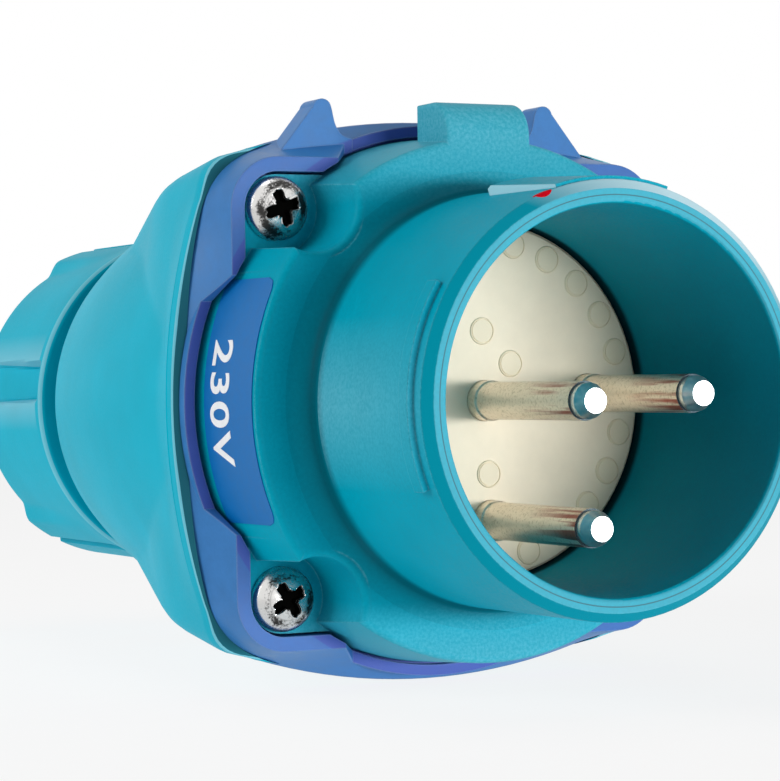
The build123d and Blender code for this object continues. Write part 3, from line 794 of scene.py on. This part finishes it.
def nut_grid():
    """The nut's closed wall: collar, taper, rounded back, web, cord hole and threaded bore. On two
    sides a wide groove is sunk into the taper, and between them grips of a constant radius rise out
    of it over a few degrees, split by notches. A floor is flat: radius = floor / cos(angle off it)."""
    s = sizes()
    angle = around(480)
    soft = s.groove_soft / MM
    taper_end = NUT_END - NUT_BACK_ROUND
    lead = quarter_round((NUT_RADIUS - NUT_EDGE, NUT_FRONT), (NUT_RADIUS, NUT_FRONT),
                         (NUT_RADIUS, NUT_FRONT + NUT_EDGE), 6)
    collar = run((NUT_RADIUS, NUT_FRONT + NUT_EDGE), (NUT_RADIUS, COLLAR_END), 3)
    taper = run((NUT_RADIUS, COLLAR_END), (NUT_BACK_RADIUS, taper_end), 30)
    drop = quarter_round((NUT_BACK_RADIUS, taper_end), (NUT_BACK_RADIUS, NUT_END),
                         (NUT_BACK_RADIUS - NUT_BACK_ROUND, NUT_END), 8)
    outer = np.vstack([lead, collar, taper, drop])
    radius, along = outer[:, :1], outer[:, 1:]
    behind = ease((along - COLLAR_END + 0.2) / 1.2)
    # angle off the middle of the nearer wide groove, between -90 and 90 degrees
    off = (angle - GROOVE_MIDDLE + math.pi / 2) % math.pi - math.pi / 2
    rise = ease((np.abs(off) - GRIP_FOOT) / (GRIP_TOP - GRIP_FOOT)) * behind
    end_round = np.minimum(radius - NUT_BACK_RADIUS, 0) * (along > taper_end)
    skin = radius + np.maximum(GRIP_RADIUS + end_round - radius, 0) * rise
    for notch in NOTCHES:
        turn = np.abs(off) - notch
        cut = sunk(skin, NUT_BACK_RADIUS, GRIP_RADIUS * np.sin(turn), NOTCH_WIDTH, 0.6 * soft)
        skin = skin + (cut - skin) * behind
    narrow, wide = GROOVE_WIDTHS
    width = narrow + (wide - narrow) * (along - COLLAR_END) / (NUT_END - COLLAR_END)
    cut = sunk(skin, GROOVE_FLOOR / np.cos(off), NUT_BACK_RADIUS * np.sin(off), width, soft)
    skin = turned(skin + (cut - skin) * behind * (np.abs(off) < GRIP_FOOT), along, angle)
    bite = NUT_WEB - np.linspace(0, 1, 70)[:, None] * (NUT_WEB - NUT_FRONT)
    groove = thread(bite, angle, s.thread_depth / MM, s.thread_pitch / MM)
    groove = groove * ease((bite - NUT_FRONT) / 1.5) * ease((NUT_WEB - bite) / 1.5)
    bore = turned(NUT_BORE + groove, bite, angle)
    web = np.array([
        [NUT_HOLE + NUT_HOLE_EDGE, NUT_END],
        [NUT_HOLE, NUT_END - NUT_HOLE_EDGE],
        [NUT_HOLE, NUT_WEB],
    ])
    web = np.vstack([run((NUT_BACK_RADIUS - NUT_BACK_ROUND, NUT_END), web[0], 4), web])
    return np.vstack([skin, turned(web[:, :1], web[:, 1:], angle), bore])


# flange screws
SCREW_PLACE = 25.8
SCREW_SEAT = 12.44
HEAD_RADIUS = 4.3
HEAD_HEIGHT = 3.1
HEAD_RIM = 0.9
SHANK_RADIUS = 2.0
SHANK_LENGTH = 29.5
SHANK_POINT = 3.0
RECESS_REACH = 2.45
RECESS_WAIST = 1.35
RECESS_DEPTH = 1.75
SCREW_TURNS = (18.0, 40.0, 65.0, 30.0)


def cross_distance(radius, angle):
    """Distance outside a worn cross recess, negative inside, about along the radius: the edge swings
    four times a turn between the waist and the reach, flat at the arm ends, and is torn unevenly."""
    swing = np.cos(4 * angle)
    edge = RECESS_WAIST + (RECESS_REACH - RECESS_WAIST) * ease(0.62 + 0.7 * swing)
    torn = 0.16 * np.sin(3 * angle + 1.0) * np.sin(7 * angle) + 0.07 * np.sin(19 * angle + 2.0)
    return (radius - edge - torn) * (0.55 + 0.45 * np.abs(swing))


def screw_grid(centre, turn):
    """One flange screw: a half-ellipse head with a cross sunk into it and a thin burr round the
    cross, then the rim, the underside, the shank and its point."""
    angle = around(192)
    rim_y = SCREW_SEAT - HEAD_RIM
    out = np.concatenate([np.linspace(0, 3.0, 52), np.linspace(3.0, HEAD_RADIUS, 18)[1:]])[:, None]
    dome = rim_y - (HEAD_HEIGHT - HEAD_RIM) * np.sqrt(np.maximum(0, 1 - (out / HEAD_RADIUS) ** 2))
    local = angle - math.radians(turn)
    gap = cross_distance(out, local)
    sink = RECESS_DEPTH * (1 - 0.3 * out / RECESS_REACH) * ease(-gap / 0.4 + 0.1)
    burr = 0.12 * np.exp(-(gap / 0.15) ** 2) * (0.6 + 0.4 * np.sin(5 * local + turn))
    head = turned(out + 0 * angle, dome + sink - burr, angle, centre)
    below = np.array([
        [HEAD_RADIUS, SCREW_SEAT - 0.15],
        [HEAD_RADIUS - 0.15, SCREW_SEAT],
        [SHANK_RADIUS, SCREW_SEAT],
        [SHANK_RADIUS, SCREW_SEAT + SHANK_LENGTH - SHANK_POINT],
        [SHANK_RADIUS / 5, SCREW_SEAT + SHANK_LENGTH],
        [0.0, SCREW_SEAT + SHANK_LENGTH],
    ])
    return np.vstack([head, turned(below[:, :1], below[:, 1:], angle, centre)])


# insulator marks
INSULATOR_FACE = 2.34
MARK_CIRCLE = 21.3
MARK_TURN = 2.4
INNER_MARKS = ((9.3, 92.0), (6.3, 51.0), (9.8, -87.6))


def mark_grids():
    """Low round buttons: a flat top with a rounded edge, closed below the insulator's face."""
    s = sizes()
    angle = around(28)
    r, h = s.mark_radius / MM, s.mark_height / MM
    profile = np.array([
        [0.0, -h], [r - 0.32, -h], [r - 0.3, -0.35 * h], [r - 0.22, -0.35 * h],
        [r - 0.2, -h], [r - 0.1, -0.9 * h], [r, 0.0], [r, 0.1], [0.0, 0.1],
    ])
    places = [(MARK_CIRCLE, MARK_TURN + 15.0 * k) for k in range(24)] + list(INNER_MARKS)
    return [
        turned(
            profile[:, :1], INSULATOR_FACE + profile[:, 1:], angle,
            (c * math.cos(math.radians(t)), c * math.sin(math.radians(t))),
        )
        for c, t in places
    ]


# film label on the left of the drum: its seat is a cone with an axis moved towards +X
SEAT_SHIFT = 2.654
SEAT_RADIUS = 37.154
SEAT_FRONT = 0.4
SEAT_SLOPE = 1.15 / 18.04
LABEL_TOP = 16.4
LABEL_FOOT = -15.5
LABEL_FRONT = 1.1
LABEL_BACK = 14.4
LABEL_CORNER = 2.0
DIGITS = "230V"
DIGIT_HEIGHT = 5.2
DIGIT_SHARE = 0.72
DIGIT_LINE = 12.4


def on_seat(height, along, lift):
    """Point on the label seat at a height z and a station y, lifted off it: the radius grows with y,
    and x follows from the circle round the moved axis."""
    radius = SEAT_RADIUS + SEAT_SLOPE * (along - SEAT_FRONT) + lift
    turn = np.arcsin(height / radius)
    return np.stack([SEAT_SHIFT - radius * np.cos(turn), along, radius * np.sin(turn)], -1)


def label_grid(thickness):
    """Thin closed slab on the seat: rows run down the label, and each row goes out over the film and
    back under it. The front corners are quarter circles, and the end rows fall together."""
    height = np.linspace(LABEL_TOP, LABEL_FOOT, 81)
    height = np.concatenate([height[:1], height, height[-1:]])[:, None]
    edge = np.minimum(LABEL_TOP - height, height - LABEL_FOOT)
    corner = LABEL_CORNER - np.sqrt(LABEL_CORNER ** 2 - np.maximum(0, LABEL_CORNER - edge) ** 2)
    t = np.linspace(0, 1, 22)[None, :]
    along = LABEL_FRONT + corner + (LABEL_BACK - LABEL_FRONT - corner) * t
    lift = np.full((len(height), 1), thickness)
    lift[[0, -1]] = 0.5 * thickness
    top = on_seat(height + 0 * along, along, lift + 0 * along)
    under = on_seat(height + 0 * along, along, 0 * along + np.where(lift < thickness, lift, 0.0))
    return np.hstack([top, under[:, ::-1]])


def digits_mesh(thickness):
    """Plain numbers as flat outlines, given a thickness and bent onto the label: the line of text runs
    down the label, and its upright points to the shroud."""
    text = bpy.data.curves.new("label_digits", "FONT")
    text.body = DIGITS
    text.align_x = "CENTER"
    text.size = DIGIT_HEIGHT / DIGIT_SHARE
    text.space_character = 1.12
    text.offset = 0.12
    text.extrude = 0.5
    text.resolution_u = 6
    obj = bpy.data.objects.new("label_digits_outline", text)
    mesh = bpy.data.meshes.new_from_object(obj)
    bpy.data.objects.remove(obj)
    bpy.data.curves.remove(text)
    work = bmesh.new()
    work.from_mesh(mesh)
    bmesh.ops.remove_doubles(work, verts=work.verts, dist=1e-5)
    bmesh.ops.triangulate(work, faces=work.faces)
    work.to_mesh(mesh)
    work.free()
    flat = np.empty(len(mesh.vertices) * 3, np.float32)
    mesh.vertices.foreach_get("co", flat)
    flat = flat.reshape(-1, 3)
    middle = 0.5 * (LABEL_TOP + LABEL_FOOT)
    bent = on_seat(middle - flat[:, 0], DIGIT_LINE - flat[:, 1], thickness + (flat[:, 2] + 0.45) * 0.06)
    mesh.vertices.foreach_set("co", (bent * MM).astype(np.float32).ravel())
    mesh.update()
    return mesh


# paint mark: its middle along Y and round the axis, and half its length each way
DAB_PLACE = -30.5
DAB_MIDDLE = math.radians(111.4)
DAB_HALF_TURN = math.radians(3.0)
DAB_HALF_ALONG = 0.85
DAB_HEIGHT = 0.09


def dab_grid():
    """Dab of paint on the shroud: an oval with pointed ends in angle and y, thickest in its middle.
    It follows the rim's bevel in front and the shroud behind, and closes just under the surface."""
    out = np.linspace(0, 1, 12)[:, None]
    turn = around(40)
    bend = np.sign(np.sin(turn)) * np.abs(np.sin(turn)) ** 1.2
    angle = DAB_MIDDLE + out * DAB_HALF_TURN * np.cos(turn)
    along = DAB_PLACE + out * DAB_HALF_ALONG * bend
    ground = SHROUD_RADIUS - np.maximum(0, BEVEL_BACK - along)
    top = turned(ground + DAB_HEIGHT * (1 - out ** 2) ** 0.6 - 0.01 * out, along, angle)
    under = turned(ground - 0.05, along, angle)
    return np.vstack([top, under[::-1]])


# operators


class DressCasing(bpy.types.Operator):
    """Finish of the inlet casing."""

    bl_idname = "plug.dress_casing"
    bl_label = "Inlet casing"

    def execute(self, context):
        dress("inlet_casing", glass_filled_polyester())
        return {"FINISHED"}


class DressInsulator(bpy.types.Operator):
    """Finish of the contact insulator and its round position marks."""

    bl_idname = "plug.dress_insulator"
    bl_label = "Contact insulator"

    def execute(self, context):
        cream = cream_melamine()
        dress("contact_insulator", cream)
        piece("position_marks", mark_grids(), "plug", "insulator_plastic", cream)
        return {"FINISHED"}


class DressContacts(bpy.types.Operator):
    """Finish of the pins, their tips and the terminal screws."""

    bl_idname = "plug.dress_contacts"
    bl_label = "Contacts"

    def execute(self, context):
        plate, tip = worn_nickel_plate(), silver_contact_alloy()
        steel = moulded_inner("zinc_plated_screw", "#A9A79C", 0.35, 0.4, 0.03)
        for name in ("earth", "right", "lower"):
            dress(name + "_pin", plate)
            dress(name + "_contact_tip", tip)
            dress(name + "_terminal_screw", steel)
        return {"FINISHED"}


class DressBumper(bpy.types.Operator):
    """Finish of the bumper frame."""

    bl_idname = "plug.dress_bumper"
    bl_label = "Bumper frame"

    def execute(self, context):
        dress("bumper_frame", glossy_polypropylene())
        return {"FINISHED"}


class DressInnerRings(bpy.types.Operator):
    """Finish of the seals and rings inside the plug."""

    bl_idname = "plug.dress_inner_rings"
    bl_label = "Seals and rings"

    def execute(self, context):
        rubber = moulded_inner("moulded_black_rubber", "#26272A", 0.7, 0.5, 0.06)
        dress("gland_seal", rubber)
        dress("insulator_seal", rubber)
        dress("slip_ring", moulded_inner("natural_nylon", "#D8D3C4", 0.45, 0.8, 0.03))
        dress("retaining_ring", moulded_inner("grey_polyester", "#7C8487", 0.5, 0.6, 0.04))
        return {"FINISHED"}


class MakeHandle(bpy.types.Operator):
    """Handle body: bosses, dome and threaded spigot in one smooth wall."""

    bl_idname = "plug.make_handle"
    bl_label = "Handle body"

    def execute(self, context):
        teal = satin_polyamide("satin_polyamide", colours().handle, 0.4)
        obj = piece("handle_shell", [handle_grid()], "plug", "handle_plastic", teal, ring=True)
        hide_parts("handle_body")
        return {"FINISHED"}


class MakeGlandNut(bpy.types.Operator):
    """Gland nut with a wide groove on two sides and notched grips between them."""

    bl_idname = "plug.make_gland_nut"
    bl_label = "Gland nut"

    def execute(self, context):
        teal = satin_polyamide("satin_polyamide_nut", colours().handle, 0.42)
        obj = piece("grip_nut", [nut_grid()], "gland_nut", "handle_plastic", teal, ring=True)
        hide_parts("gland_nut")
        return {"FINISHED"}


class MakeFlangeScrews(bpy.types.Operator):
    """Four flange screws with a cross recess."""

    bl_idname = "plug.make_flange_screws"
    bl_label = "Flange screws"

    def execute(self, context):
        steel = stainless_screw()
        p = SCREW_PLACE
        for k, centre in enumerate([(-p, p), (p, p), (p, -p), (-p, -p)]):
            name = "cross_screw_%d" % (k + 1)
            obj = piece(name, [screw_grid(centre, SCREW_TURNS[k])], "plug", "screw_steel", steel)
            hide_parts("flange_screw_%d" % (k + 1))
        return {"FINISHED"}


class MakeLabel(bpy.types.Operator):
    """Film label on the drum, with plain numbers."""

    bl_idname = "plug.make_label"
    bl_label = "Rating label"

    def execute(self, context):
        thickness = sizes().label_thickness / MM
        film = printed_film("blue_film", colours().label)
        piece("rating_label", [label_grid(thickness)], "plug", None, film, crease=50.0)
        mesh = digits_mesh(thickness)
        place("label_digits", mesh, "plug", None, printed_film("white_print", colours().print_white))
        return {"FINISHED"}


class MakePaintMark(bpy.types.Operator):
    """Dab of red paint near the rim."""

    bl_idname = "plug.make_paint_mark"
    bl_label = "Paint mark"

    def execute(self, context):
        piece("paint_mark", [dab_grid()], "plug", None, brushed_enamel_dab(), crease=60.0)
        return {"FINISHED"}


# stage
CAMERA_AZIMUTH = -27.071
CAMERA_ELEVATION = 0.255
CAMERA_ROLL = -0.890
RIM_CENTRE = (0.0, RIM_FRONT, 0.0)
RIM_DISTANCE = 334.77
RIM_RIGHT = 28.3236
RIM_DOWN = 1.2515
LENS = 126.454
FLOOR_Z = -38.8
AMBIENT = 0.2
# lamps: name, place, target, size in millimetres and power in watts
LAMPS = (
    ("key_left", (-640, 190, 260), (0, 30, 0), (380, 380), 2.3),
    ("top_soft", (-60, 60, 700), (0, 20, 0), (420, 300), 0.7),
    ("front_right", (220, -715, 0), (0, 0, 0), (400, 76), 4.2),
)


def camera_axes():
    """Right, up and forward of the camera: forward from azimuth and elevation, then a roll about it."""
    az, el, roll = (math.radians(x) for x in (CAMERA_AZIMUTH, CAMERA_ELEVATION, CAMERA_ROLL))
    forward = -np.array([math.sin(az) * math.cos(el), -math.cos(az) * math.cos(el), math.sin(el)])
    level = np.cross(forward, (0.0, 0.0, 1.0))
    level /= np.linalg.norm(level)
    upright = np.cross(level, forward)
    right = math.cos(roll) * level + math.sin(roll) * upright
    return right, np.cross(right, forward), forward


def stand(name, data, spot, right, up, forward):
    """Links a lamp or a camera at a spot in millimetres, turned so that it looks forward."""
    obj = bpy.data.objects.new(name, data)
    bpy.context.scene.collection.objects.link(obj)
    rows = np.column_stack([right, up, -forward, spot * MM])
    obj.matrix_world = Matrix(np.vstack([rows, [0, 0, 0, 1]]).tolist())
    return obj


def add_lamp(name, place, target, size, power):
    """A white area lamp at a place, turned to a target, both in millimetres."""
    lamp = bpy.data.lights.new(name, "AREA")
    lamp.shape = "RECTANGLE"
    lamp.size, lamp.size_y = size[0] * MM, size[1] * MM
    lamp.energy = power
    start = np.array(place, float)
    forward = np.array(target, float) - start
    forward /= np.linalg.norm(forward)
    right = np.cross(forward, (0.0, 0.0, 1.0))
    right /= np.linalg.norm(right)
    stand(name, lamp, start, right, np.cross(right, forward), forward)


def studio_world(ambient):
    """White to the camera and in reflections, and a softer ambient level on the surfaces."""
    world = bpy.data.worlds.new("studio_white")
    world.use_nodes = True
    tree = world.node_tree
    tree.nodes.clear()
    path = add(tree, "ShaderNodeLightPath")
    seen = combine(tree, "MAXIMUM", path.outputs["Is Camera Ray"], path.outputs["Is Glossy Ray"])
    seen = combine(tree, "MAXIMUM", seen, path.outputs["Is Transmission Ray"])
    level = spread(tree, seen, 0.0, 1.0, ambient, 1.0)
    light = add(tree, "ShaderNodeBackground", {"Color": (1.0, 1.0, 1.0, 1.0), "Strength": level})
    add(tree, "ShaderNodeOutputWorld", {"Surface": light.outputs[0]})
    bpy.context.scene.world = world


def pale_floor():
    """Matt white board: a soft shadow stays on it, and most of what the camera sees is its own white."""
    material, tree, where = blank("matt_white_board")
    tint = ramp(tree, noise(tree, where, 6.0, 2.0), 0.0, 1.0, linear("#F6F6F6"), linear("#FCFCFC"))
    matt = add(tree, "ShaderNodeBsdfDiffuse", {"Color": tint})
    glow = add(tree, "ShaderNodeEmission", {"Color": (1.0, 1.0, 1.0, 1.0), "Strength": 1.0})
    path = add(tree, "ShaderNodeLightPath")
    share = combine(tree, "MAXIMUM", combine(tree, "MULTIPLY", path.outputs["Is Camera Ray"], 0.85), 0.6)
    mixed = add(tree, "ShaderNodeMixShader", {0: share, 1: matt.outputs[0], 2: glow.outputs[0]})
    add(tree, "ShaderNodeOutputMaterial", {"Surface": mixed.outputs[0]})
    return material


class SetStage(bpy.types.Operator):
    """Floor, light and the camera of the picture."""

    bl_idname = "plug.set_stage"
    bl_label = "Stage"

    def execute(self, context):
        scene = context.scene
        scene.view_settings.view_transform = "Standard"
        far = 6000.0 * MM
        mesh = bpy.data.meshes.new("floor")
        corners = [(-far, -far), (far, -far), (far, far), (-far, far)]
        mesh.from_pydata([(x, y, FLOOR_Z * MM) for x, y in corners], [], [(0, 1, 2, 3)])
        floor = bpy.data.objects.new("floor", mesh)
        scene.collection.objects.link(floor)
        mesh.materials.append(pale_floor())
        studio_world(AMBIENT)
        for lamp in LAMPS:
            add_lamp(*lamp)
        right, up, forward = camera_axes()
        spot = np.array(RIM_CENTRE) - RIM_DISTANCE * forward - RIM_RIGHT * right + RIM_DOWN * up
        camera = bpy.data.cameras.new("photo_camera")
        camera.sensor_fit = "HORIZONTAL"
        camera.sensor_width = 36.0
        camera.lens = LENS
        camera.clip_start, camera.clip_end = 0.01, 50.0
        scene.camera = stand("photo_camera", camera, spot, right, up, forward)
        return {"FINISHED"}


OPERATORS = (
    DressCasing, DressInsulator, DressContacts, DressBumper, DressInnerRings, MakeHandle,
    MakeGlandNut, MakeFlangeScrews, MakeLabel, MakePaintMark, SetStage,
)


class PlugPanel(bpy.types.Panel):
    """Lists the pieces of the plug in the sidebar."""

    bl_idname = "VIEW3D_PT_plug"
    bl_label = "Pin and sleeve plug"
    bl_space_type = "VIEW_3D"
    bl_region_type = "UI"
    bl_category = "Plug"

    def draw(self, context):
        for group in (context.scene.plug_sizes, context.scene.plug_colours):
            box = self.layout.box()
            for name in group.__annotations__:
                box.prop(group, name)
        for made in OPERATORS:
            self.layout.operator(made.bl_idname)


CLASSES = (PlugSizes, PlugColours) + OPERATORS + (PlugPanel,)


def register():
    for made in CLASSES:
        bpy.utils.register_class(made)
    bpy.types.Scene.plug_sizes = bpy.props.PointerProperty(type=PlugSizes)
    bpy.types.Scene.plug_colours = bpy.props.PointerProperty(type=PlugColours)


def unregister():
    del bpy.types.Scene.plug_sizes
    del bpy.types.Scene.plug_colours
    for made in reversed(CLASSES):
        bpy.utils.unregister_class(made)


def main():
    register()
    bpy.ops.plug.dress_casing()
    bpy.ops.plug.dress_insulator()
    bpy.ops.plug.dress_contacts()
    bpy.ops.plug.dress_bumper()
    bpy.ops.plug.dress_inner_rings()
    bpy.ops.plug.make_handle()
    bpy.ops.plug.make_gland_nut()
    bpy.ops.plug.make_flange_screws()
    bpy.ops.plug.make_label()
    bpy.ops.plug.make_paint_mark()
    bpy.ops.plug.set_stage()


if __name__ == "__main__":
    main()
